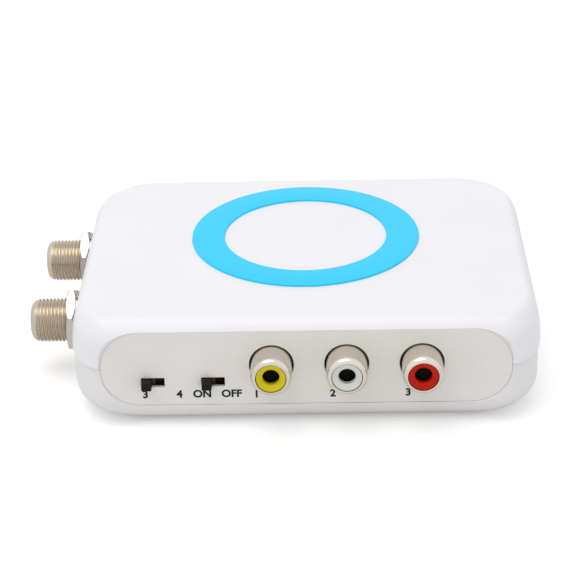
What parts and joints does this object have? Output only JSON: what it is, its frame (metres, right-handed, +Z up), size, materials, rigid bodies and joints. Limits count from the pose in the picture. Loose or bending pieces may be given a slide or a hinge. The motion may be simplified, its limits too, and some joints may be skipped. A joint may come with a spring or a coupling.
{
  "type": "rf modulator",
  "caption": "Low white converter box with a blue ring on the lid, phono jacks and slide switches in front, and threaded aerial sockets at the left.",
  "frame": {"origin": "bottom centre of the bounding box, on the plane the rubber feet stand on", "axes": "+Z up through the lid, -Y out of the front panel, -X out of the aerial sockets"},
  "size_m": [0.109, 0.079, 0.0254],
  "materials": {
    "white_case": "smooth white, semi-gloss",
    "grey_panel": "light warm grey, satin",
    "blue_ring": "bright blue, glossy",
    "screw_steel": "zinc plated",
    "foot_rubber": "matt",
    "board_green": "glass-epoxy board with green mask",
    "tinned_steel": "tinned sheet",
    "nickel": "nickel plated",
    "black_plastic": "moulded, satin",
    "lever_black": "moulded, satin",
    "yellow_core": "yellow, glossy",
    "white_core": "white, glossy",
    "red_core": "red, glossy",
    "brown_board": "brown laminate",
    "contact_brass": "plated brass",
    "capacitor_sleeve": "dark blue sleeve",
    "ceramic": "ochre dip",
    "resistor_body": "beige lacquer"
  },
  "bodies": {
    "unit": {"top_cover": "white_case", "bottom_case": "white_case", "front_panel": "grey_panel", "accent_ring": "blue_ring", "case_screws": "screw_steel", "rubber_feet": "foot_rubber", "main_board": "board_green", "board_screws": "screw_steel", "rf_can": "tinned_steel", "rf_can_lid": "tinned_steel", "tuning_coils": "tinned_steel", "modulator_ic": "black_plastic", "crystal": "tinned_steel", "rf_barrel_front": "nickel", "rf_barrel_back": "nickel", "rf_nut_front": "nickel", "rf_nut_back": "nickel", "rf_washer_front": "nickel", "rf_washer_back": "nickel", "rf_insulator_front": "white_core", "rf_insulator_back": "white_core", "rf_contact_front": "contact_brass", "rf_contact_back": "contact_brass", "rca_housing_video": "black_plastic", "rca_housing_left": "black_plastic", "rca_housing_right": "black_plastic", "rca_sleeve_video": "nickel", "rca_sleeve_left": "nickel", "rca_sleeve_right": "nickel", "rca_insulator_video": "yellow_core", "rca_insulator_left": "white_core", "rca_insulator_right": "red_core", "rca_contact_video": "contact_brass", "rca_contact_left": "contact_brass", "rca_contact_right": "contact_brass", "channel_frame": "tinned_steel", "channel_base": "brown_board", "channel_terminals": "contact_brass", "power_frame": "tinned_steel", "power_base": "brown_board", "power_terminals": "contact_brass", "dc_housing": "black_plastic", "dc_pin": "nickel", "dc_spring": "contact_brass", "signal_ic": "black_plastic", "regulator": "black_plastic", "supply_capacitor": "capacitor_sleeve", "filter_capacitor": "capacitor_sleeve", "ceramic_capacitors": "ceramic", "resistors": "resistor_body"},
    "channel_lever": {"channel_slider": "lever_black"},
    "power_lever": {"power_slider": "lever_black"}
  },
  "joints": [
    {"name": "channel_slide", "type": "slide", "parent": "unit", "child": "channel_lever", "axis": [1, 0, 0], "range_m": [0, 0.0025]},
    {"name": "power_slide", "type": "slide", "parent": "unit", "child": "power_lever", "axis": [1, 0, 0], "range_m": [0, 0.0025]}
  ]
}
